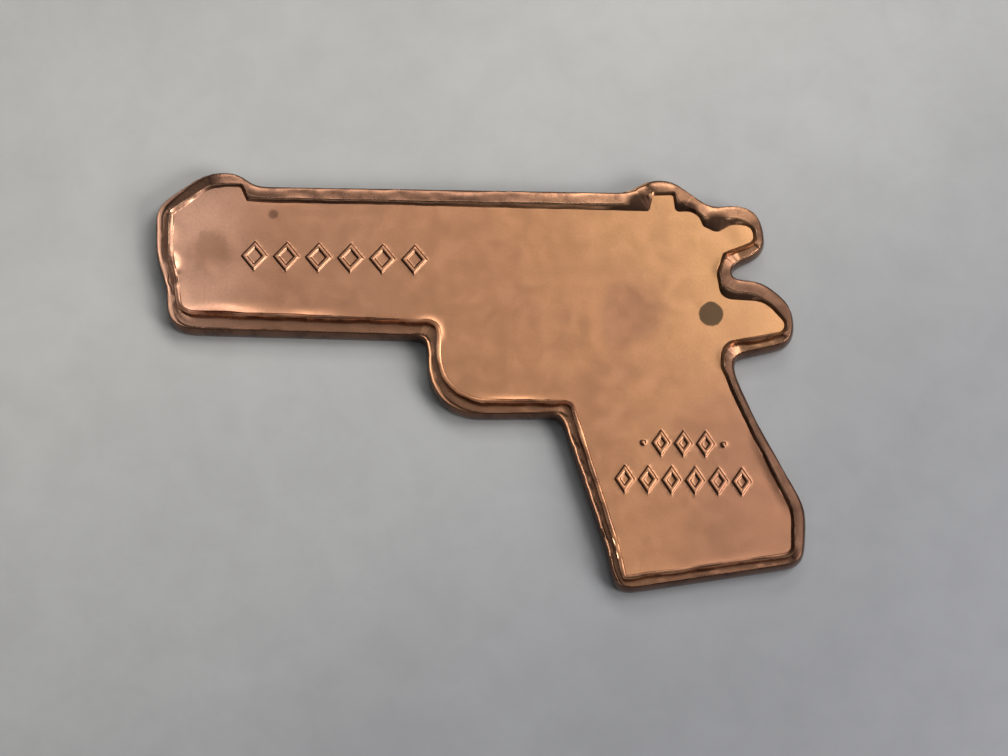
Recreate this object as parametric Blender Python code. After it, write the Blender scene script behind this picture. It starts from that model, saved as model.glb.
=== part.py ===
# A flat struck copper piece in the outline of a pistol, lying on its plain back.
# Its front is a sunk field inside a raised, rounded rim. A thin ridge runs round the side
# at the foot of the rim, where the striking dies met.
# X runs from the muzzle to the back of the grip, Y from the butt to the top of the slide,
# and Z up from the flat back. All sizes below are in millimetres.
import math

import bmesh
import bpy
from mathutils import Vector
from mathutils.geometry import delaunay_2d_cdt

METRES_PER_MM = 0.001

# Heights above the flat back
FIELD_HEIGHT = 1.28
CREST_HEIGHT = 1.46
RIDGE_HEIGHT = 1.07

# Rim profile: distance out from the field's edge, and height
RIM_INSIDE = [
    (0.00, FIELD_HEIGHT),
    (0.08, FIELD_HEIGHT + 0.11),
    (0.15, CREST_HEIGHT),
    (0.21, CREST_HEIGHT - 0.01),
]
# Ridge profile: distance in from the ridge's edge, and height
RIDGE_TOP = [
    (0.18, RIDGE_HEIGHT + 0.08),
    (0.12, RIDGE_HEIGHT + 0.02),
    (0.00, RIDGE_HEIGHT),
]
# Side profile below the ridge: distance out from the ridge's edge, and height
SIDE = [
    (0.05, 0.96),
    (0.11, 0.74),
    (0.13, 0.45),
    (0.10, 0.14),
    (0.00, 0.00),
]

# Corners of the sunk field's edge, clockwise from the muzzle: x, y and the arc's radius
FIELD_CORNERS = [
    (-16.45, 8.65, 0.45),  # muzzle, upper corner
    (-14.50, 10.20, 0.65),  # muzzle crown
    (-12.95, 10.30, 0.15),  # front sight
    (-12.55, 9.45, 0.15),
    (9.25, 9.45, 0.10),  # rear sight
    (9.45, 10.35, 0.15),
    (10.50, 10.40, 0.15),
    (10.65, 9.45, 0.25),
    (11.80, 9.50, 0.75),  # back of the slide
    (12.15, 8.65, 0.20),
    (12.90, 8.30, 0.45),  # hammer
    (13.75, 8.80, 1.05),
    (14.80, 8.75, 0.60),
    (14.85, 7.90, 0.35),
    (13.25, 7.15, 0.25),  # notch between hammer and tang
    (12.80, 6.00, 0.95),
    (13.15, 4.50, 0.75),
    (15.40, 4.45, 1.60),  # tang
    (16.25, 3.50, 0.25),
    (16.80, 2.85, 0.40),
    (13.00, 2.05, 1.05),
    (13.05, 0.70, 0.85),  # back of the grip
    (14.15, -1.95, 2.65),
    (16.70, -7.25, 2.15),
    (16.65, -9.30, 0.40),  # butt
    (8.20, -10.70, 0.10),
    (7.85, -9.20, 1.05),  # front of the grip
    (5.30, -1.35, 0.70),
    (-1.60, -1.40, 2.40),  # trigger guard
    (-1.80, 2.95, 0.85),
    (-15.60, 3.15, 0.65),  # muzzle, lower corner
    (-15.85, 4.55, 1.05),
    (-16.30, 6.30, 1.05),
]

# Corners of the ridge's edge, in the same order
RIDGE_CORNERS = [
    (-17.45, 9.10, 1.15),  # muzzle, upper corner
    (-14.95, 11.10, 1.35),  # muzzle crown
    (-13.20, 11.20, 0.80),  # front sight
    (-12.20, 10.40, 0.80),
    (8.15, 10.55, 1.05),  # rear sight
    (9.05, 11.30, 0.80),
    (10.40, 11.35, 0.45),
    (11.80, 10.35, 1.05),  # back of the slide
    (12.50, 9.80, 0.75),
    (13.90, 9.95, 1.05),  # hammer
    (15.15, 9.85, 1.15),
    (15.50, 7.55, 0.65),
    (13.60, 6.55, 0.15),  # notch between hammer and tang
    (13.60, 5.70, 0.15),
    (15.35, 5.60, 1.60),  # tang
    (16.90, 4.25, 1.35),
    (16.95, 2.30, 0.75),
    (13.70, 1.45, 0.25),
    (13.75, 0.45, 0.55),  # back of the grip
    (14.85, -2.10, 1.60),
    (17.45, -6.90, 2.15),
    (17.30, -9.75, 0.65),  # butt
    (7.75, -11.45, 0.55),
    (7.20, -9.15, 1.05),  # front of the grip
    (4.70, -2.00, 0.20),
    (-2.20, -2.25, 2.65),  # trigger guard
    (-2.50, 2.15, 0.25),
    (-16.30, 2.20, 1.15),  # muzzle, lower corner
    (-16.55, 4.65, 0.95),
    (-17.20, 6.25, 0.95),
]

ARC_STEP = math.radians(9.0)
SMALLEST_RADIUS = 0.02
STRAIGHT_TURN = math.radians(0.5)

# Rows of raised hollow lozenges on the field: middle of the row, how many, spacing, width, height
LOZENGE_ROWS = [
    {"middle": (-7.65, 6.32), "count": 6, "spacing": 1.72, "width": 1.46, "height": 1.74},
    {"middle": (11.10, -3.60), "count": 3, "spacing": 1.16, "width": 1.02, "height": 1.50},
    {"middle": (11.10, -5.60), "count": 6, "spacing": 1.22, "width": 1.08, "height": 1.60},
]
LOZENGE_STROKE = 0.28
LOZENGE_DRAFT = 0.07
LOZENGE_RELIEF = 0.10

# Small raised beads at the ends of the upper row on the grip
BEAD_MIDDLES = [(9.00, -3.60), (13.20, -3.60)]
BEAD_RADIUS = 0.17
BEAD_TOP_RADIUS = 0.08
BEAD_SIDES = 12

COPPER_COLOUR = (0.46, 0.22, 0.12, 1.0)
COPPER_ROUGHNESS = 0.35
SHARP_ANGLE = math.radians(35.0)


def left_normal(direction):
    return Vector((-direction.y, direction.x))


def corner_frame(corners, index):
    # A corner's point and radius, with the unit directions of the sides that meet there
    x, y, radius = corners[index]
    here = Vector((x, y))
    before = Vector(corners[index - 1][:2])
    after = Vector(corners[(index + 1) % len(corners)][:2])
    return here, radius, (here - before).normalized(), (after - here).normalized()


def offset_corners(corners, outward):
    # Moves each side of a clockwise outline out by one distance and keeps its arcs concentric
    moved = []
    for index in range(len(corners)):
        here, radius, arriving, leaving = corner_frame(corners, index)
        out_before = left_normal(arriving)
        out_after = left_normal(leaving)
        here += (out_before + out_after) * (outward / (1.0 + out_before.dot(out_after)))
        turns_right = arriving.cross(leaving) < 0.0
        radius += outward if turns_right else -outward
        moved.append((here.x, here.y, max(radius, SMALLEST_RADIUS)))
    return moved


def rounded_outline(corners):
    # Points along an outline, with an arc of the given radius at each corner
    points = []
    for index in range(len(corners)):
        here, radius, arriving, leaving = corner_frame(corners, index)
        turn = math.atan2(arriving.cross(leaving), arriving.dot(leaving))
        if abs(turn) < STRAIGHT_TURN:
            points.append(here)
            continue
        reach = radius * math.tan(abs(turn) / 2.0)
        start = here - arriving * reach
        side = math.copysign(1.0, turn)
        centre = start + left_normal(arriving) * (side * radius)
        steps = max(2, round(abs(turn) / ARC_STEP))
        for step in range(steps + 1):
            angle = turn * step / steps
            spoke = start - centre
            cosine = math.cos(angle)
            sine = math.sin(angle)
            turned = Vector((spoke.x * cosine - spoke.y * sine, spoke.x * sine + spoke.y * cosine))
            points.append(centre + turned)
    return points


def outline_loop(corners, outward, height):
    points = rounded_outline(offset_corners(corners, outward))
    return [Vector((point.x, point.y, height)) for point in points]


def lozenge_loops(middle, width, height):
    # Foot and top of the outer side, then top and foot of the inner side
    half_width = width / 2.0
    half_height = height / 2.0
    side_distance = half_width * half_height / math.hypot(half_width, half_height)
    insets = [
        (0.0, FIELD_HEIGHT),
        (LOZENGE_DRAFT, FIELD_HEIGHT + LOZENGE_RELIEF),
        (LOZENGE_STROKE - LOZENGE_DRAFT, FIELD_HEIGHT + LOZENGE_RELIEF),
        (LOZENGE_STROKE, FIELD_HEIGHT),
    ]
    loops = []
    for inset, z in insets:
        share = 1.0 - inset / side_distance
        reach_x = half_width * share
        reach_y = half_height * share
        tips = [(-reach_x, 0.0), (0.0, reach_y), (reach_x, 0.0), (0.0, -reach_y)]
        loops.append([Vector((middle[0] + x, middle[1] + y, z)) for x, y in tips])
    return loops


def bead_loops(middle):
    loops = []
    for radius, z in ((BEAD_RADIUS, FIELD_HEIGHT), (BEAD_TOP_RADIUS, FIELD_HEIGHT + LOZENGE_RELIEF)):
        loop = []
        for side in range(BEAD_SIDES):
            angle = math.tau * side / BEAD_SIDES
            x = middle[0] + radius * math.cos(angle)
            y = middle[1] + radius * math.sin(angle)
            loop.append(Vector((x, y, z)))
        loops.append(loop)
    return loops


def mark_loops():
    loops = []
    for row in LOZENGE_ROWS:
        for index in range(row["count"]):
            shift = (index - (row["count"] - 1) / 2.0) * row["spacing"]
            middle = (row["middle"][0] + shift, row["middle"][1])
            loops.extend(lozenge_loops(middle, row["width"], row["height"]))
    for middle in BEAD_MIDDLES:
        loops.extend(bead_loops(middle))
    return loops


def add_filled_loops(bm, loops):
    # Fills the space inside the outermost loop, with every loop kept as a line of edges
    corners = []
    edges = []
    for loop in loops:
        first = len(corners)
        corners.extend(loop)
        for index in range(len(loop)):
            edges.append((first + index, first + (index + 1) % len(loop)))
    flat = [corner.to_2d() for corner in corners]
    inside_only = 1
    _, _, triangles, sources, _, _ = delaunay_2d_cdt(flat, edges, [], inside_only, 1e-5)
    verts = [bm.verts.new(corner) for corner in corners]
    for triangle in triangles:
        bm.faces.new([verts[sources[corner][0]] for corner in triangle])
    return verts


def add_strip(bm, upper, lower):
    count = len(upper)
    for index in range(count):
        after = (index + 1) % count
        bm.faces.new([upper[index], upper[after], lower[after], lower[index]])


def build_mesh():
    bm = bmesh.new()
    ridge_edge = outline_loop(RIDGE_CORNERS, 0.0, RIDGE_HEIGHT)
    top_loops = [ridge_edge]
    for inward, height in RIDGE_TOP[:-1]:
        top_loops.append(outline_loop(RIDGE_CORNERS, -inward, height))
    for outward, height in RIM_INSIDE:
        top_loops.append(outline_loop(FIELD_CORNERS, outward, height))
    top_loops.extend(mark_loops())
    above = add_filled_loops(bm, top_loops)[: len(ridge_edge)]
    for outward, height in SIDE[:-1]:
        ring = [bm.verts.new(point) for point in outline_loop(RIDGE_CORNERS, outward, height)]
        add_strip(bm, above, ring)
        above = ring
    foot_outward, foot_height = SIDE[-1]
    foot = add_filled_loops(bm, [outline_loop(RIDGE_CORNERS, foot_outward, foot_height)])
    add_strip(bm, above, foot)
    bmesh.ops.recalc_face_normals(bm, faces=bm.faces)
    bmesh.ops.scale(bm, vec=(METRES_PER_MM,) * 3, verts=bm.verts)
    mesh = bpy.data.meshes.new("copper_bar")
    bm.to_mesh(mesh)
    bm.free()
    mesh.shade_smooth()
    mesh.set_sharp_from_angle(angle=SHARP_ANGLE)
    return mesh


def copper_material():
    material = bpy.data.materials.new("struck_copper")
    material.use_nodes = True
    shader = material.node_tree.nodes["Principled BSDF"]
    shader.inputs["Base Color"].default_value = COPPER_COLOUR
    shader.inputs["Metallic"].default_value = 1.0
    shader.inputs["Roughness"].default_value = COPPER_ROUGHNESS
    return material


def main():
    for item in list(bpy.data.objects):
        bpy.data.objects.remove(item)
    bar = bpy.data.objects.new("copper_bar", build_mesh())
    bar.data.materials.append(copper_material())
    bpy.context.scene.collection.objects.link(bar)


main()
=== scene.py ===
import math

import bmesh
import bpy
import numpy as np
from mathutils import Matrix, Vector, kdtree, noise


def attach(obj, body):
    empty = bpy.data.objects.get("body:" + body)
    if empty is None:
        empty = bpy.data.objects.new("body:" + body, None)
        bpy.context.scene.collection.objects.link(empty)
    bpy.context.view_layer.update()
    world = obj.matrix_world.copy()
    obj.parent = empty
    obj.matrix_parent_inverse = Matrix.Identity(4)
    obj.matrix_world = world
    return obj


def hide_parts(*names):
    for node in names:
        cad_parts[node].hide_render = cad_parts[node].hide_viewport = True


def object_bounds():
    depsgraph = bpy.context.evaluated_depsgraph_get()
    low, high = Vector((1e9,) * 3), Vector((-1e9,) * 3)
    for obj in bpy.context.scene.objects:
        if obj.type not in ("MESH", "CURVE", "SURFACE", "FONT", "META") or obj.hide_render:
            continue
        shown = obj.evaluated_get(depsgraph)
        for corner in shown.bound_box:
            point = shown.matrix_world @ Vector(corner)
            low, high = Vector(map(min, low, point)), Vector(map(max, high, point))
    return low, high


# A flat struck copper piece in the outline of a pistol, face up on a pale floor.
# The piece is shaped in millimetres and brought to metres at the end.

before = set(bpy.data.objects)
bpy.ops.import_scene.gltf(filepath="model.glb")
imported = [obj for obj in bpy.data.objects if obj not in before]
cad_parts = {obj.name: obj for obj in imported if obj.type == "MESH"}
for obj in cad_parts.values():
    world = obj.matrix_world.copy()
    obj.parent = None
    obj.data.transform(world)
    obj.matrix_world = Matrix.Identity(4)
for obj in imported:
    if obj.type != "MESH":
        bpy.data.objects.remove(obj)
cadLow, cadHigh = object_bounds()
mm = 0.001

struckPiece = {
    "name": "struck_copper_piece",
    "node": "copper_bar",
    "slot": "struck_copper",
    "body": "root",
    "fieldHeight": 1.28,
    "markRelief": 0.10,
    "crestHeight": cadHigh.z / mm,
    "ridgeHeight": 1.07,
    "lattice": 0.168,  # spacing of the cuts across the field
    "tooClose": 0.006,  # points nearer than this are merged
    "edgeWander": 0.035,  # how far the field's edge strays
    "stepWide": 0.04,  # the sharp step at the field's edge
    "stepRise": 0.24,  # its share of the rim's height
    "stepCuts": 2,
    "wallCuts": 8,
    "wallLeast": (0.20, 0.26),  # the inner wall's width where the rim is narrow: round side, open side
    "pocketShade": (0.27, 0.36),  # painted shade: by the sights a wall wider than this is painted dark as a shaded pocket
    "crestWander": 0.30,  # how far the crest strays, as a share of the wall's width
    "crestDips": (0.035, 0.012),  # long and short dips along the crest
    "ledgeWander": (0.55, 0.45),
    "slopeSag": (0.030, 0.015),
    "nicks": (0.05, 0.05),  # small losses along the ridge
    "slopeLightAndShade": (0.42, 0.50),  # painted light and shade: the outer slope is painted lighter on the butt's side and darker at the back
    "northWallShade": 0.75,  # painted shade: how much darker the inner wall is painted on its north side, towards the sights
    "easeCorners": 1.0,  # how far the die rounded the ridge's corners
    "rimWidth": 0.80,  # from the crest out to the ridge, where there is room
    "slopeCuts": 12,
    "slopeBulge": 1.05,  # above 1 the outer slope is round, at 1 it is straight
    "openSide": math.radians(225),  # most hollow inside on this side, and the rim roundest opposite
    "ledgeSide": math.radians(185),  # the ledge is widest on this side
    "ledge": (0.02, 0.27),  # least and most
    "ledgeTop": 0.06,  # how far the slope's foot stands above the ridge
    "ledgeCuts": 4,
    "lip": 0.16,  # how strongly the ledge dips before its outer edge on its widest side
    "side": (  # out from the ridge's edge, and height
        (0.02, 1.055),
        (0.04, 1.01),
        (0.06, 0.94),
        (0.09, 0.83),
        (0.11, 0.70),
        (0.125, 0.58),
        (0.13, 0.45),
        (0.12, 0.30),
        (0.10, 0.14),
        (0.06, 0.04),
        (0.00, 0.00),
    ),
    "markEase": 0.032,  # how far the marks' edges are rounded
    "markShade": (1.0, 0.35),  # painted shade: how dark the marks' walls are painted at their foot and along their top
    "smoothAngle": 70,
}

# Work on the face: where, how wide, how deep; a negative depth stands up
hollows = [
    {"at": (8.0, 3.7), "wide": 1.9, "deep": 0.020},
    {"at": (6.1, 2.6), "wide": 0.7, "deep": -0.010, "tall": 3.0},
    {"at": (-14.4, 6.6), "wide": 1.5, "deep": 0.020},
    {"at": (-11.1, 8.75), "wide": 0.35, "deep": 0.012},
    {"at": (-16.05, 5.08), "wide": 0.36, "deep": 0.055},
    {"at": (14.0, 1.25), "wide": 0.22, "deep": -0.06},
    {"at": (14.65, 1.38), "wide": 0.26, "deep": -0.06},
    {"at": (7.55, -9.0), "wide": 0.30, "deep": -0.04},
    {"at": (7.75, -9.7), "wide": 0.26, "deep": -0.04},
    {"at": (7.1, -9.8), "wide": 0.20, "deep": -0.07},
    {"at": (14.2, 8.3), "wide": 0.8, "deep": -0.015},
]

# Slight waviness of the field, stronger near the muzzle
waves = {
    "field": (0.004, 0.0015),
    "muzzle": (0.016, 0.007),
    "muzzleAt": (-15.5, 6.5),
    "muzzleReach": 5.0,
}

# Where the field turns up into the rim: middle of the stretch, its reach, width and rise
turnedUp = [
    {"at": (-13.5, 3.3), "reach": 3.6, "wide": 0.70, "rise": 0.125},
    {"at": (-9.0, 3.2), "reach": 2.6, "wide": 0.45, "rise": 0.060},
    {"at": (-16.2, 5.85), "reach": 0.75, "wide": 0.50, "rise": 0.120},
    {"at": (-14.2, 9.9), "reach": 1.6, "wide": 0.50, "rise": 0.040},
    {"at": (13.0, -11.0), "reach": 4.5, "wide": 0.30, "rise": 0.035},
    {"at": (15.8, -5.0), "reach": 3.2, "wide": 0.35, "rise": 0.040},
    {"at": (2.2, -1.3), "reach": 2.6, "wide": 0.30, "rise": 0.050},
    {"at": (-2.3, 2.5), "reach": 1.3, "wide": 0.30, "rise": 0.060},
    {"at": (12.9, 6.4), "reach": 0.9, "wide": 0.25, "rise": 0.030},
    {"at": (13.2, 1.3), "reach": 0.9, "wide": 0.25, "rise": 0.030},
    {"at": (-16.3, 7.2), "reach": 1.6, "wide": 0.40, "rise": 0.025},
    {"at": (-10.5, 9.4), "reach": 2.6, "wide": 0.35, "rise": -0.015},
]

floorSheet = {
    "size": 900,
    "far": (0.445, 0.445, 0.440),  # towards the top of the slide, painted lighter: painted light fall-off
    "near": (0.235, 0.240, 0.262),
    "fade": (-30.0, 22.0),
    "smudge": 0.90,
}

studio = {
    "roomTint": (0.97, 0.99, 1.0),
    "roomGlow": (0.36, 0.35, 0.86),  # the way to the room's brightest part
    "roomLevels": ((-0.4, 0.03), (0.0, 0.06), (0.35, 0.10), (0.7, 0.27), (1.0, 0.46)),
    "shadeAt": (0.0, -0.31, 0.95),  # the way to the dark part over the camera
    "shadeEdge": (0.93, 0.985),
    "shadeDepth": 0.85,
    "lamps": [  # place and size in millimetres, power in watts at this small scale
        {
            "name": "ceiling", "at": (180, 250, 400),
            "size": (280, 280), "power": 0.12, "tint": (1.0, 0.97, 0.92),
        },
        {
            "name": "northWindow", "at": (10, 198, 192),
            "size": (130, 60), "power": 0.13, "tint": (1.0, 0.98, 0.94),
        },
        {
            "name": "highEastLamp", "at": (160, 85, 218),
            "size": (130, 130), "power": 0.40, "tint": (1.0, 0.98, 0.94),
        },
        {
            "name": "lowEastLamp", "at": (194, -88, 125),
            "size": (110, 110), "power": 0.48, "tint": (1.0, 0.98, 0.94),
        },
        {
            "name": "westLamp", "at": (-98, 62, 190),
            "size": (44, 44), "power": 0.015, "tint": (1.0, 0.98, 0.96),
        },
        {
            "name": "southWall", "at": (0, -175, 208),
            "size": (200, 80), "power": 0.025, "tint": (1.0, 0.97, 0.94),
        },
    ],
}

view = {
    "aim": (1.616, 0.190, 0.0),
    "distance": 125.86,
    "tilt": 18.0,  # from straight down, towards the butt's side
    "turn": 1.45,
    "lens": 84.18,
    "sensor": 36.0,
}


def wander(x, y, perMm, seed):
    return noise.noise(Vector((x * perMm, y * perMm, seed)))


def fade(distance, reach):
    # 1 at the middle, 0 at the reach, with no corner at either end
    t = min(distance / reach, 1.0)
    return (1 - t * t) ** 2


def startPiece(shape):
    # A merged copy of the CAD node, as the only selected object
    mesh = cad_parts[shape["node"]].data.copy()
    mesh.transform(Matrix.Scale(1 / mm, 4))
    piece = bpy.data.objects.new(shape["name"], mesh)
    bpy.context.scene.collection.objects.link(piece)
    bpy.ops.object.select_all(action="DESELECT")
    piece.select_set(True)
    bpy.context.view_layer.objects.active = piece
    bpy.ops.object.mode_set(mode="EDIT")
    bpy.ops.mesh.select_all(action="SELECT")
    bpy.ops.mesh.remove_doubles(threshold=0.001)
    bpy.ops.mesh.customdata_custom_splitnormals_clear()
    return piece


def chainOf(edges):
    # The vertices of the longest closed chain among these edges, in order
    left = dict.fromkeys(edges)
    best = []
    while left:
        edge = next(iter(left))
        del left[edge]
        chain = [edge.verts[0], edge.verts[1]]
        while True:
            onward = [e for e in chain[-1].link_edges if e in left]
            if not onward:
                break
            del left[onward[0]]
            chain.append(onward[0].other_vert(chain[-1]))
        if len(chain) > len(best):
            best = chain
    return best[:-1] if best[0] is best[-1] else best


def pointsOf(chain):
    # Their places, counter-clockwise seen from above
    points = np.array([v.co.xy for v in chain])
    x, y = points.T
    area = np.sum(x * np.roll(y, -1) - np.roll(x, -1) * y)
    return points if area > 0 else points[::-1]


def readRidge(piece, shape):
    bm = bmesh.from_edit_mesh(piece.data)
    level = shape["ridgeHeight"]
    atLevel = [e for e in bm.edges if all(abs(v.co.z - level) < 0.003 for v in e.verts)]
    return pointsOf(chainOf(atLevel))


def keepField(piece, shape):
    # Only the sunk field and its raised marks stay; the rim is drawn anew from the field's edge
    low = shape["fieldHeight"] - 0.002
    high = shape["fieldHeight"] + shape["markRelief"] + 0.005
    bpy.ops.mesh.select_mode(type="FACE")
    bpy.ops.mesh.select_all(action="DESELECT")
    bm = bmesh.from_edit_mesh(piece.data)
    for face in bm.faces:
        heights = [v.co.z for v in face.verts]
        face.select = min(heights) < low or max(heights) > high
    bmesh.update_edit_mesh(piece.data)
    bpy.ops.mesh.delete(type="FACE")
    bpy.ops.mesh.select_mode(type="VERT")
    bpy.ops.mesh.select_all(action="SELECT")
    bpy.ops.mesh.dissolve_limited(angle_limit=math.radians(1))


def easeMarks(piece, shape):
    # Rounds the foot and the top of every raised mark
    bpy.ops.mesh.select_mode(type="EDGE")
    bpy.ops.mesh.select_all(action="DESELECT")
    bm = bmesh.from_edit_mesh(piece.data)
    for e in bm.edges:
        e.select = len(e.link_faces) == 2 and e.calc_face_angle() > math.radians(25)
    bmesh.update_edit_mesh(piece.data)
    bpy.ops.mesh.bevel(offset=shape["markEase"], segments=2, affect="EDGES", loop_slide=False)
    bpy.ops.mesh.select_mode(type="VERT")


def cutLattice(piece, shape):
    step = shape["lattice"]
    box = np.array([v.co.xy for v in bmesh.from_edit_mesh(piece.data).verts])
    for axis in (0, 1):
        places = np.arange(box[:, axis].min() + step / 2, box[:, axis].max(), step)
        for place in places:
            point, across = [0.0, 0.0, 0.0], [0.0, 0.0, 0.0]
            point[axis] = float(place)
            across[axis] = 1.0
            bpy.ops.mesh.select_all(action="SELECT")
            bpy.ops.mesh.bisect(plane_co=point, plane_no=across)
    bpy.ops.mesh.select_all(action="SELECT")
    bpy.ops.mesh.remove_doubles(threshold=shape["tooClose"])


def alongLengths(points):
    steps = np.linalg.norm(np.roll(points, -1, axis=0) - points, axis=1)
    return np.concatenate([[0.0], np.cumsum(steps)])


def pointAt(points, lengths, place):
    closed = np.vstack([points, points[:1]])
    place = np.mod(place, lengths[-1])
    return np.column_stack([np.interp(place, lengths, closed[:, k]) for k in (0, 1)])


def smoothRound(values, width):
    # Running average of a closed row of evenly spaced values
    kernel = np.hanning(2 * width + 3)[1:-1]
    kernel /= kernel.sum()
    wrapped = np.concatenate([values[-width:], values, values[:width]])
    return np.convolve(wrapped, kernel, mode="valid")


def partnersOn(ridge, edge):
    # For each point of the field's edge, the point of the ridge across the rim from it
    dense = 2400
    ridgeLengths = alongLengths(ridge)
    edgeLengths = alongLengths(edge)
    ridgeAt = np.linspace(0, ridgeLengths[-1], dense, endpoint=False)
    ridgePoints = pointAt(ridge, ridgeLengths, ridgeAt)
    edgeAt = np.linspace(0, edgeLengths[-1], dense, endpoint=False)
    edgePoints = pointAt(edge, edgeLengths, edgeAt)
    near = np.array([np.argmin(((ridgePoints - p) ** 2).sum(axis=1)) for p in edgePoints])
    ahead = np.mod(near - near[0] + dense / 2, dense) - dense / 2
    jumps = np.diff(ahead, append=ahead[0])
    jumps = np.mod(jumps + dense / 2, dense) - dense / 2
    run = near[0] + np.concatenate([[0.0], np.cumsum(jumps[:-1])])
    run = (np.maximum.accumulate(run) + np.minimum.accumulate(run[::-1])[::-1]) / 2
    drift = run - np.arange(dense)
    run = np.arange(dense) + smoothRound(smoothRound(drift, 14), 8)
    place = np.interp(edgeLengths[:-1], edgeAt, run) / dense * ridgeLengths[-1]
    return pointAt(ridge, ridgeLengths, place)


def easeRound(points, reach):
    # The same closed line with its corners eased
    spacing = 0.03
    lengths = alongLengths(points)
    even = pointAt(points, lengths, np.arange(0, lengths[-1], spacing))
    return np.column_stack([smoothRound(even[:, k], int(reach / spacing)) for k in (0, 1)])


def outwardOf(points):
    ahead = np.roll(points, -2, axis=0) - np.roll(points, 2, axis=0)
    normal = np.column_stack([ahead[:, 1], -ahead[:, 0]])
    return normal / np.linalg.norm(normal, axis=1)[:, None]


def rimRings(edge, ridge, shape):
    # Every ring from the field's edge over the rim and down the side, with its place across the rim
    count = len(edge)
    partner = partnersOn(ridge, edge)
    width = np.linalg.norm(partner - edge, axis=1)
    toRidge = (partner - edge) / width[:, None]
    outward = outwardOf(partner)
    field, crest, level = shape["fieldHeight"], shape["crestHeight"], shape["ridgeHeight"]
    crestAt = np.empty(count)
    crestDrop = np.empty(count)
    ledge = np.empty(count)
    sag = np.empty(count)
    nick = np.empty(count)
    lean = outward @ np.array([math.cos(shape["openSide"]), math.sin(shape["openSide"])])
    openness = smoothRound(np.clip(0.5 + 0.9 * lean, 0, 1), 6)
    ledgeLean = outward @ np.array([math.cos(shape["ledgeSide"]), math.sin(shape["ledgeSide"])])
    ledgeShare = smoothRound(np.clip(1.05 * ledgeLean - 0.05, 0, 1), 6)
    ledgeLeast, ledgeMost = shape["ledge"]
    for k, (x, y) in enumerate(edge):
        wall = max(np.interp(openness[k], (0, 1), shape["wallLeast"]), width[k] - shape["rimWidth"])
        crestAt[k] = wall * (1 + shape["crestWander"] * wander(x, y, 0.9, 3.1))
        long, short = shape["crestDips"]
        crestDrop[k] = long * max(0.0, wander(x, y, 0.45, 8.2)) + short * abs(wander(x, y, 2.3, 1.7))
        ledge[k] = ledgeLeast + (ledgeMost - ledgeLeast) * ledgeShare[k]
        long, short = shape["ledgeWander"]
        ledge[k] *= 1 + long * wander(x, y, 0.8, 5.5) + short * wander(x, y, 2.6, 6.6)
        long, short = shape["slopeSag"]
        sag[k] = long * wander(x, y, 0.7, 9.9) + short * wander(x, y, 2.2, 4.4)
        long, short = shape["nicks"]
        nick[k] = long * max(0.0, wander(x, y, 1.3, 12.5))
        nick[k] += short * max(0.0, wander(x, y, 3.6, 2.2) - 0.15)
    top = crest - crestDrop
    foot = level + shape["ledgeTop"] * (1 - 0.8 * ledgeShare)
    rings = []
    toSouth, toEast = shape["slopeLightAndShade"]
    crestAt = smoothRound(crestAt, 4)
    # where the wall is wide by the sights the rim is painted dark: painted shade in the pockets
    pocketShade = np.interp(crestAt, shape["pocketShade"], (0, 1)) * np.clip(0.3 + 1.5 * outward[:, 1], 0, 1)
    pocketShade = smoothRound(pocketShade, 5)
    allDull = np.ones(count)
    south = smoothRound(np.clip(-1.3 * outward[:, 1] - 0.2, 0, 1), 6)
    east = smoothRound(np.clip(1.4 * outward[:, 0] - 0.3, 0, 1), 6)
    north = smoothRound(np.clip(1.5 * outward[:, 1] - 0.3, 0, 1), 6)
    # the outer slope is painted lighter on the south side and darker on the east side: painted light and
    # shade
    slopeLightAndShade = 1 - toSouth * south + toEast * east
    # the ledge is painted in the face's lighter copper on its widest side, most round the guard: a painted
    # highlight
    ledgeHighlight = 1 - ledgeShare * np.interp(edge[:, 1], (-4.0, -1.0), (0.25, 0.95))
    stepWide, stepRise = shape["stepWide"], shape["stepRise"]
    for step in range(1, shape["stepCuts"] + 1):
        t = step / shape["stepCuts"]
        height = field + (top - field) * stepRise * t
        rings.append((edge + toRidge * (stepWide * t), height, 0.1 * t, 2 * pocketShade * t))
    for step in range(1, shape["wallCuts"] + 1):
        t = step / shape["wallCuts"]
        reach = stepWide + (crestAt - stepWide) * t
        hollowRise, roundRise = t ** 1.35, math.sin(t * math.pi / 2)
        rise = hollowRise + (roundRise - hollowRise) * 0.75 * (1 - openness)
        height = field + (top - field) * (stepRise + (1 - stepRise) * rise)
        # the inner wall is painted darker on its north side as painted shade, and darker still in the
        # pockets
        tone = np.maximum(2 * pocketShade * (1 - t ** 3), np.maximum(t ** 6, shape["northWallShade"] * north))
        rings.append((edge + toRidge * reach[:, None], height, 0.1 + 0.1 * t, tone))
    slopeEnd = width - ledge
    for step in range(1, shape["slopeCuts"] + 1):
        t = step / shape["slopeCuts"]
        reach = crestAt + (slopeEnd - crestAt) * t
        straight = t ** shape["slopeBulge"]
        tube = 1 - math.sqrt(1 - (0.97 * t) ** 2)
        fall = straight + (tube - straight) * 0.45 * (1 - openness)
        height = top + (foot - top) * fall / fall.max()
        height = height + sag * np.sin(math.pi * t)
        rings.append((edge + toRidge * reach[:, None], height, 0.2 + 0.65 * t, slopeLightAndShade))
    for step in range(1, shape["ledgeCuts"] + 1):
        t = step / shape["ledgeCuts"]
        reach = slopeEnd + (width - nick - slopeEnd) * t
        height = foot + (level - foot) * (1 - (1 - t) ** 2) + shape["lip"] * ledgeShare * (t ** 2 - t)
        rings.append((edge + toRidge * reach[:, None], height, 0.85 + 0.15 * t, ledgeHighlight))
    sideCount = len(shape["side"])
    for step, (out, height) in enumerate(shape["side"]):
        t = (step + 1) / sideCount
        lip = nick * (1 - t) ** 2
        place = partner + outward * (out - lip)[:, None]
        rings.append((place, np.full(count, height), 1.0 + t, allDull))
    return rings


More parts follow.
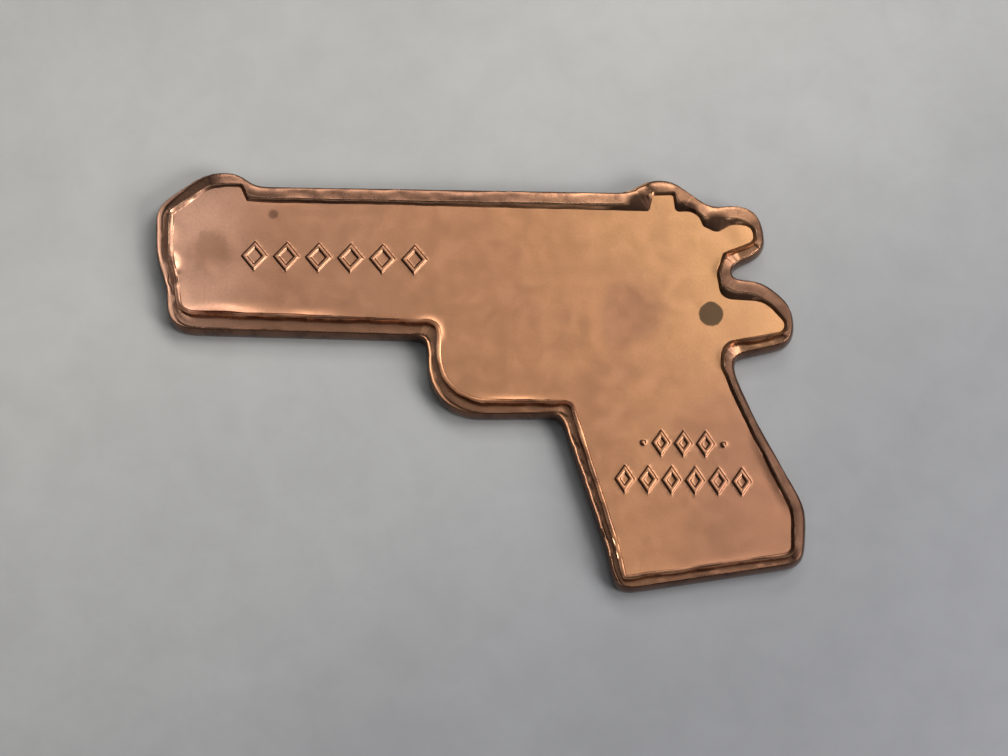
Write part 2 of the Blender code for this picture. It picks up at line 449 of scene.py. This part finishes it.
def drawRim(piece, ridge, shape):
    # Extrudes the field's edge ring after ring, then closes the back
    bm = bmesh.from_edit_mesh(piece.data)
    order = bm.verts.layers.int.new("ringOrder")
    across = bm.verts.layers.float.new("acrossRim")
    # this layer holds the rim's tarnish together with painted light and shade
    tarnishAndLightLayer = bm.verts.layers.float.new("tarnishAndPaintedLight")
    edgeChain = chainOf([e for e in bm.edges if e.is_boundary])
    edge = np.array([v.co.xy for v in edgeChain])
    if not np.array_equal(pointsOf(edgeChain), edge):
        edgeChain = edgeChain[::-1]
        edge = edge[::-1]
    nearEdge = kdtree.KDTree(len(edge))
    stray = [shape["edgeWander"] * (wander(x, y, 0.8, 21.0) + wander(x, y, 2.4, 22.0)) for x, y in edge]
    edge = edge + outwardOf(edge) * smoothRound(np.array(stray), 3)[:, None]
    for k, vert in enumerate(edgeChain):
        vert[order] = k
        vert.co.xy = edge[k]
        nearEdge.insert((*edge[k], 0), k)
    nearEdge.balance()
    # the marks' walls are painted darker, darkest at the foot: painted shade in the creases round each mark
    footShade, topShade = shape["markShade"]
    for vert in bm.verts:
        vert[across] = -min(1.0, nearEdge.find((vert.co.x, vert.co.y, 0))[2])
        if any(face.normal.z < 0.9 for face in vert.link_faces):
            rise = (vert.co.z - shape["fieldHeight"]) / shape["markRelief"]
            vert[tarnishAndLightLayer] = footShade + (topShade - footShade) * min(1.0, max(0.0, rise))
    bpy.ops.mesh.select_all(action="DESELECT")
    bpy.ops.mesh.select_mode(type="EDGE")
    for e in bm.edges:
        e.select = e.is_boundary
    bmesh.update_edit_mesh(piece.data)
    for place, height, spot, tone in rimRings(edge, ridge, shape):
        bpy.ops.mesh.extrude_region()
        bm = bmesh.from_edit_mesh(piece.data)
        order = bm.verts.layers.int["ringOrder"]
        across = bm.verts.layers.float["acrossRim"]
        tarnishAndLightLayer = bm.verts.layers.float["tarnishAndPaintedLight"]
        for vert in bm.verts:
            if vert.select:
                k = vert[order]
                vert.co = (*place[k], height[k])
                vert[across] = spot
                vert[tarnishAndLightLayer] = tone[k]
        bmesh.update_edit_mesh(piece.data)
    bpy.ops.mesh.edge_face_add()
    bpy.ops.mesh.select_all(action="SELECT")
    bpy.ops.mesh.normals_make_consistent(inside=False)
    bpy.ops.mesh.select_all(action="DESELECT")
    bm = bmesh.from_edit_mesh(piece.data)
    across = bm.verts.layers.float["acrossRim"]
    for e in bm.edges:  # the field's edge and the back's edge stay crisp
        ends = [v[across] for v in e.verts]
        e.select = max(ends) < 0.0001 and min(ends) > -0.0001 or min(ends) > 1.9999
    bmesh.update_edit_mesh(piece.data)
    bpy.ops.mesh.mark_sharp()
    bpy.ops.mesh.select_mode(type="VERT")
    return len(edge)


def workFace(piece, shape):
    # Hollows, turned-up borders and the slight waviness of struck metal
    bm = bmesh.from_edit_mesh(piece.data)
    across = bm.verts.layers.float["acrossRim"]
    level = shape["ridgeHeight"] + 0.05
    for vert in bm.verts:
        x, y, z = vert.co
        if z < level:
            continue
        onField = vert[across] <= 0
        lift = 0.0
        if onField:
            muzzle = fade(math.dist((x, y), waves["muzzleAt"]), waves["muzzleReach"])
            long, short = waves["field"]
            lift += long * wander(x, y, 0.30, 0.5) + short * wander(x, y, 1.1, 7.0)
            long, short = waves["muzzle"]
            lift += muzzle * (long * wander(x, y, 0.8, 13.0) + short * wander(x, y, 2.2, 14.0))
            for turn in turnedUp:
                near = fade(math.dist((x, y), turn["at"]), turn["reach"])
                lift += near * turn["rise"] * max(0.0, 1 + vert[across] / turn["wide"]) ** 2
        for hollow in hollows:
            east, north = x - hollow["at"][0], y - hollow["at"][1]
            away = math.hypot(east, north / hollow.get("tall", 1.0))
            lift -= hollow["deep"] * fade(away, hollow["wide"])
        vert.co.z = min(z + lift, shape["crestHeight"])
    bmesh.update_edit_mesh(piece.data)


def finishPiece(piece, shape):
    bpy.ops.object.mode_set(mode="OBJECT")
    piece.data.transform(Matrix.Scale(mm, 4))
    piece.data.materials.clear()
    piece.data.materials.append(struckCopper())
    bpy.ops.object.shade_smooth_by_angle(angle=math.radians(shape["smoothAngle"]))
    even = piece.modifiers.new("evenNormals", "WEIGHTED_NORMAL")
    even.keep_sharp = True
    bpy.ops.object.modifier_apply(modifier=even.name)
    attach(piece, shape["body"])
    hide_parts(shape["node"])


# Copper finish: lengths in millimetres, colours linear
copperFinish = {
    "face": (0.540, 0.260, 0.134),
    "faceLeft": (0.545, 0.268, 0.156),
    "faceWarm": (0.595, 0.312, 0.146),
    "facePink": (0.80, 0.44, 0.30),
    "faceDullAndShade": (0.38, 0.182, 0.108),
    "rim": (0.19, 0.097, 0.062),
    "rimLitWarm": (0.34, 0.173, 0.100),
    "rimDark": (0.085, 0.042, 0.030),
    "pocketShadeColour": (0.035, 0.018, 0.013),
    "side": (0.17, 0.085, 0.055),
    "crest": (0.80, 0.48, 0.30),
    "spot": (0.115, 0.070, 0.040),
    "spotAt": (12.56, 3.63),
    "spotRadius": 0.68,
    "blotchAt": (-14.36, 6.6),
    "dipShadeAt": (8.1, 3.6),
    "speckAt": (-11.09, 8.76),
    "satin": (0.32, 0.40),  # roughness of the face, least and most
    "rimPolish": 0.11,  # the rim is smoother by this
    "pocketMatt": 0.25,
    "spotMatt": 0.25,
    "grainDepth": 0.30,
    "scratchDepth": 0.10,
    "relief": 0.012,
    "guardWallHighlight": (-0.5, 0.2),  # the inner wall round the guard is left copper-bright with no rim brown, a painted highlight
    "shadedPockets": ((8.75, 9.85, 1.0), (11.25, 9.5, 0.9), (12.9, 8.7, 1.0)),  # by the sights: place and width of the painted shade
}


class Nodes:
    # Short hand for a material's nodes: each call adds one node and returns its output
    def __init__(self, material):
        self.tree = material.node_tree
        self.tree.nodes.clear()

    def add(self, kind, settings=None, inputs=None, out=0):
        node = self.tree.nodes.new(kind)
        for name, value in (settings or {}).items():
            setattr(node, name, value)
        for name, value in (inputs or {}).items():
            if isinstance(value, bpy.types.NodeSocket):
                self.tree.links.new(value, node.inputs[name])
            else:
                node.inputs[name].default_value = value
        return node.outputs[out] if node.outputs else node

    def math(self, operation, a, b=0.0, clamp=False):
        return self.add("ShaderNodeMath", {"operation": operation, "use_clamp": clamp}, {0: a, 1: b})

    def ramp(self, value, low, high, to=(0.0, 1.0)):
        return self.add(
            "ShaderNodeMapRange",
            {"interpolation_type": "SMOOTHSTEP"},
            {"Value": value, "From Min": low, "From Max": high, "To Min": to[0], "To Max": to[1]},
        )

    def mix(self, factor, a, b, blend="MIX"):
        a, b = [(*c, 1.0) if isinstance(c, tuple) and len(c) == 3 else c for c in (a, b)]
        settings = {"data_type": "RGBA", "blend_type": blend}
        return self.add("ShaderNodeMix", settings, {0: factor, 6: a, 7: b}, out=2)

    def noise(self, place, scale, detail=3.0, rough=0.5, warp=0.0):
        inputs = {"Vector": place, "Scale": scale, "Detail": detail, "Roughness": rough, "Distortion": warp}
        return self.add("ShaderNodeTexNoise", None, inputs)

    def stretched(self, place, scales, turn=0.0):
        inputs = {"Vector": place, "Scale": scales, "Rotation": (0.0, 0.0, math.radians(turn))}
        return self.add("ShaderNodeMapping", None, inputs)

    def awayFrom(self, place, middle, wobble=None):
        # Flat distance from a place on the face, wobbled a little
        gap = self.add("ShaderNodeVectorMath", {"operation": "SUBTRACT"}, {0: place, 1: (*middle, 0.0)})
        flat = self.add("ShaderNodeVectorMath", {"operation": "MULTIPLY"}, {0: gap, 1: (1.0, 1.0, 0.0)})
        away = self.add("ShaderNodeVectorMath", {"operation": "LENGTH"}, {0: flat}, out=1)
        return away if wobble is None else self.math("ADD", away, wobble)


def struckCopper():
    finish = copperFinish
    material = bpy.data.materials.new("struckCopper")
    material.use_nodes = True
    n = Nodes(material)
    objectPlace = n.add("ShaderNodeTexCoord", out=3)
    place = n.add("ShaderNodeMapping", None, {"Vector": objectPlace, "Scale": (1 / mm,) * 3})
    across = n.add("ShaderNodeAttribute", {"attribute_name": "acrossRim"}, out=2)
    parts = n.tree.nodes.new("ShaderNodeSeparateXYZ")
    n.tree.links.new(place, parts.inputs[0])
    x, y, z = parts.outputs

    clouds = n.noise(place, 0.22, 4.0, 0.55, 0.4)
    mottle = n.noise(place, 0.9, 5.0, 0.6, 0.3)
    grain = n.noise(place, 7.0, 4.0, 0.6)

    # Face: pinker at the muzzle, yellower at the hammer, duller in clouds and on the lower right
    colour = n.mix(n.ramp(x, 3.0, -10.0), finish["face"], finish["faceLeft"])
    colour = n.mix(n.ramp(x, -10.0, -16.0), colour, finish["facePink"])
    towardHammer = n.math("ADD", x, n.math("MULTIPLY", y, 0.6))
    colour = n.mix(n.ramp(towardHammer, 5.0, 19.0), colour, finish["faceWarm"])
    colour = n.mix(n.math("MULTIPLY", n.ramp(clouds, 0.45, 0.75), 0.32), colour, finish["faceDullAndShade"])
    colour = n.mix(n.math("MULTIPLY", n.ramp(mottle, 0.5, 0.8), 0.10), colour, finish["facePink"])
    lowerRight = n.math("MULTIPLY", n.ramp(x, 8.0, 14.0), n.ramp(y, 3.0, -4.0))
    colour = n.mix(n.math("MULTIPLY", lowerRight, 1.0), colour, finish["faceDullAndShade"])
    blotchWobble = n.math("MULTIPLY", n.math("SUBTRACT", mottle, 0.5), 1.2)
    blotch = n.ramp(n.awayFrom(place, finish["blotchAt"], blotchWobble), 1.5, 0.5)
    colour = n.mix(n.math("MULTIPLY", blotch, 0.6), colour, finish["faceDullAndShade"])
    # a darker patch over the shallow dip by the spot: painted shade of the dip
    dipShade = n.ramp(n.awayFrom(place, finish["dipShadeAt"], blotchWobble), 2.9, 0.6)
    dipShade = n.math("MULTIPLY", dipShade, n.ramp(x, 6.2, 7.2))
    colour = n.mix(n.math("MULTIPLY", dipShade, 0.75), colour, finish["faceDullAndShade"])
    colour = n.mix(n.math("MULTIPLY", n.ramp(grain, 0.40, 0.75), 0.26), colour, finish["faceDullAndShade"])

    # Rim: brown on the slope, dark in the pockets by the sights as painted shade, lighter and warmer along
    # the rear of the slide's top as a painted reflection, brighter along the crest as part wear and part
    # painted highlight
    # the same layer: the rim's tarnish together with painted light and shade
    tone = n.add("ShaderNodeAttribute", {"attribute_name": "tarnishAndPaintedLight"}, out=2)
    # painted shade in the pockets by the sights, from the layer and from the listed places
    pocketShadeMask = n.ramp(tone, 1.0, 1.7)
    byTheField = n.math("MULTIPLY", n.ramp(across, 0.01, 0.05), n.ramp(across, 0.80, 0.55))
    for east, north, wide in finish["shadedPockets"]:
        nearby = n.ramp(n.awayFrom(place, (east, north)), wide, wide * 0.5)
        pocketShadeMask = n.math("MAXIMUM", pocketShadeMask, n.math("MULTIPLY", nearby, byTheField))
    onRim = n.math("MINIMUM", n.math("MAXIMUM", tone, pocketShadeMask), 1.0)
    # the rim along the rear of the slide's top is painted lighter and warmer: painted reflection
    litStretch = n.math("MULTIPLY", n.ramp(x, 1.0, 5.0), n.ramp(y, 5.5, 8.0))
    rimColour = n.mix(litStretch, finish["rim"], finish["rimLitWarm"])
    rimColour = n.mix(n.math("MULTIPLY", n.ramp(mottle, 0.40, 0.75), 0.8), rimColour, finish["rimDark"])
    rimColour = n.mix(pocketShadeMask, rimColour, finish["pocketShadeColour"])
    onWall = n.math("MULTIPLY", n.ramp(across, 0.02, 0.06), n.ramp(across, 0.22, 0.18))
    patchy = n.ramp(n.noise(place, 0.6, 2.0, 0.5), 0.38, 0.62, (0.05, 0.75))
    patchy = n.math("MULTIPLY", patchy, n.ramp(n.awayFrom(place, finish["guardWallHighlight"]), 2.2, 3.8))
    # at the muzzle the inner wall is painted brown, a painted shade that dims its highlight
    patchy = n.math("MAXIMUM", patchy, n.ramp(x, -15.0, -15.8, (0.0, 0.9)))
    onRim = n.math("MAXIMUM", onRim, n.math("MULTIPLY", onWall, patchy))
    colour = n.mix(n.math("MULTIPLY", onRim, 0.97), colour, rimColour)
    # along the crest the rim is painted brighter: part wear, part painted highlight
    crest = n.math("MULTIPLY", n.ramp(across, 0.16, 0.19), n.ramp(across, 0.26, 0.21))
    wearAndSheen = n.math("MULTIPLY", crest, n.ramp(n.noise(place, 1.6, 3.0), 0.35, 0.6))
    wearAndSheen = n.math("MULTIPLY", wearAndSheen, n.math("SUBTRACT", 1.0, pocketShadeMask))
    colour = n.mix(n.math("MULTIPLY", wearAndSheen, 0.7), colour, finish["crest"])
    onSide = n.math("MULTIPLY", n.ramp(across, 1.05, 1.25), n.ramp(z, 0.0, 0.05))
    sideColour = n.mix(n.ramp(mottle, 0.4, 0.7), finish["side"], finish["rimDark"])
    colour = n.mix(n.math("MULTIPLY", onSide, 0.85), colour, sideColour)

    # One round tarnish spot and one small speck
    edgeWobble = n.math("MULTIPLY", n.math("SUBTRACT", n.noise(place, 1.1, 3.0), 0.5), 0.22)
    spotAway = n.awayFrom(place, finish["spotAt"], edgeWobble)
    onTop = n.ramp(z, 1.1, 1.2)
    spot = n.ramp(spotAway, finish["spotRadius"] + 0.05, finish["spotRadius"] - 0.04)
    spot = n.math("MULTIPLY", spot, onTop)
    colour = n.mix(spot, colour, finish["spot"])
    speck = n.ramp(n.awayFrom(place, finish["speckAt"], edgeWobble), 0.34, 0.12)
    colour = n.mix(n.math("MULTIPLY", speck, 0.6), colour, finish["rimDark"])

    # Roughness: satin face, rougher in the mottles, smoother rim, spot and pockets nearly matt
    rough = n.ramp(mottle, 0.3, 0.75, finish["satin"])
    rough = n.math("ADD", rough, n.math("MULTIPLY", n.math("SUBTRACT", grain, 0.5), 0.10))
    rough = n.math("SUBTRACT", rough, n.math("MULTIPLY", onRim, finish["rimPolish"]))
    rough = n.math("ADD", rough, n.math("MULTIPLY", pocketShadeMask, finish["pocketMatt"]))
    rough = n.math("ADD", rough, n.math("MULTIPLY", spot, finish["spotMatt"]), clamp=True)

    # Relief: fine grain of the struck metal, flow lines and a few hairline scratches
    scratches = n.noise(n.stretched(place, (0.35, 9.0, 1.0), 24), 1.0, 2.0)
    crossing = n.noise(n.stretched(place, (7.5, 0.3, 1.0), 11), 1.0, 2.0)
    lines = n.math("ADD", n.ramp(scratches, 0.62, 0.70), n.ramp(crossing, 0.64, 0.72))
    height = n.math("MULTIPLY", grain, finish["grainDepth"])
    height = n.math("ADD", height, mottle)
    height = n.math("SUBTRACT", height, n.math("MULTIPLY", lines, finish["scratchDepth"]))
    relief = {"Height": height, "Strength": 0.5, "Distance": finish["relief"] * mm}
    bump = n.add("ShaderNodeBump", None, relief)

    shader = n.add(
        "ShaderNodeBsdfPrincipled",
        None,
        {"Base Color": colour, "Metallic": 1.0, "Roughness": rough, "Normal": bump},
    )
    n.add("ShaderNodeOutputMaterial", None, {"Surface": shader})
    return material


def paleFloor():
    material = bpy.data.materials.new("paleFloor")
    material.use_nodes = True
    n = Nodes(material)
    objectPlace = n.add("ShaderNodeTexCoord", out=3)
    place = n.add("ShaderNodeMapping", None, {"Vector": objectPlace, "Scale": (1 / mm,) * 3})
    parts = n.tree.nodes.new("ShaderNodeSeparateXYZ")
    n.tree.links.new(place, parts.inputs[0])
    # the floor is painted lighter towards the top of the slide and darker towards the near side: painted
    # light fall-off
    paintedFalloff = n.math("SUBTRACT", parts.outputs[1], n.math("MULTIPLY", parts.outputs[0], 0.75))
    colour = n.mix(n.ramp(paintedFalloff, *floorSheet["fade"]), floorSheet["near"], floorSheet["far"])
    clouds = n.ramp(n.noise(place, 0.05, 5.0, 0.6), 0.35, 0.7, (floorSheet["smudge"], 1.0))
    wisps = n.ramp(n.noise(place, 0.45, 6.0, 0.65, 0.5), 0.35, 0.70, (1.0, 0.95))
    shade = n.math("MULTIPLY", clouds, wisps)
    colour = n.add("ShaderNodeVectorMath", {"operation": "SCALE"}, {0: colour, "Scale": shade})
    shader = n.add("ShaderNodeBsdfPrincipled", None, {"Base Color": colour, "Roughness": 0.6})
    n.add("ShaderNodeOutputMaterial", None, {"Surface": shader})
    return material


def layFloor():
    bpy.ops.mesh.primitive_plane_add(size=floorSheet["size"] * mm, location=(0, 0, 0))
    sheet = bpy.context.object
    sheet.name = "floor"
    sheet.data.materials.append(paleFloor())


def hangLights():
    world = bpy.data.worlds.new("softRoom")
    bpy.context.scene.world = world
    world.use_nodes = True
    n = Nodes(world)
    glow = Vector(studio["roomGlow"]).normalized()
    way = n.add("ShaderNodeTexCoord")
    facing = n.add("ShaderNodeVectorMath", {"operation": "DOT_PRODUCT"}, {0: way, 1: glow}, out=1)
    strength = 0.0
    for (low, dim), (high, bright) in zip(studio["roomLevels"], studio["roomLevels"][1:]):
        strength = n.math("ADD", strength, n.ramp(facing, low, high, (0.0, bright - dim)))
    strength = n.math("ADD", strength, studio["roomLevels"][0][1])
    shadeWay = Vector(studio["shadeAt"]).normalized()
    shading = n.add("ShaderNodeVectorMath", {"operation": "DOT_PRODUCT"}, {0: way, 1: shadeWay}, out=1)
    dimming = n.ramp(shading, *studio["shadeEdge"], (1.0, 1 - studio["shadeDepth"]))
    strength = n.math("MULTIPLY", strength, dimming)
    tint = (*studio["roomTint"], 1.0)
    background = n.add("ShaderNodeBackground", None, {"Color": tint, "Strength": strength})
    n.add("ShaderNodeOutputWorld", None, {"Surface": background})
    for lamp in studio["lamps"]:
        data = bpy.data.lights.new(lamp["name"], "AREA")
        data.shape = "RECTANGLE"
        data.size, data.size_y = [side * mm for side in lamp["size"]]
        data.energy = lamp["power"]
        data.color = lamp["tint"]
        light = bpy.data.objects.new(lamp["name"], data)
        light.location = Vector(lamp["at"]) * mm
        light.rotation_euler = light.location.to_track_quat("Z", "Y").to_euler()
        bpy.context.scene.collection.objects.link(light)


def placeCamera():
    data = bpy.data.cameras.new("camera")
    data.sensor_fit = "HORIZONTAL"
    data.sensor_width = view["sensor"]
    data.lens = view["lens"]
    data.clip_start = 0.01
    camera = bpy.data.objects.new("camera", data)
    bpy.context.scene.collection.objects.link(camera)
    turn = Matrix.Rotation(math.radians(view["turn"]), 4, "Z")
    turn = turn @ Matrix.Rotation(math.radians(view["tilt"]), 4, "X")
    aim = Vector(view["aim"]) * mm
    camera.matrix_world = Matrix.Translation(aim + turn @ Vector((0, 0, view["distance"] * mm))) @ turn
    bpy.context.scene.camera = camera


piece = startPiece(struckPiece)
ridge = readRidge(piece, struckPiece)
keepField(piece, struckPiece)
easeMarks(piece, struckPiece)
cutLattice(piece, struckPiece)
print("field cut into a lattice")
ringLength = drawRim(piece, easeRound(ridge, struckPiece["easeCorners"]), struckPiece)
print("rim drawn in rings of", ringLength)
workFace(piece, struckPiece)
finishPiece(piece, struckPiece)
print("struck piece done:", len(piece.data.polygons), "faces")

layFloor()
hangLights()
placeCamera()
bpy.context.scene.view_settings.view_transform = "Standard"
print("floor, lights and camera in place")
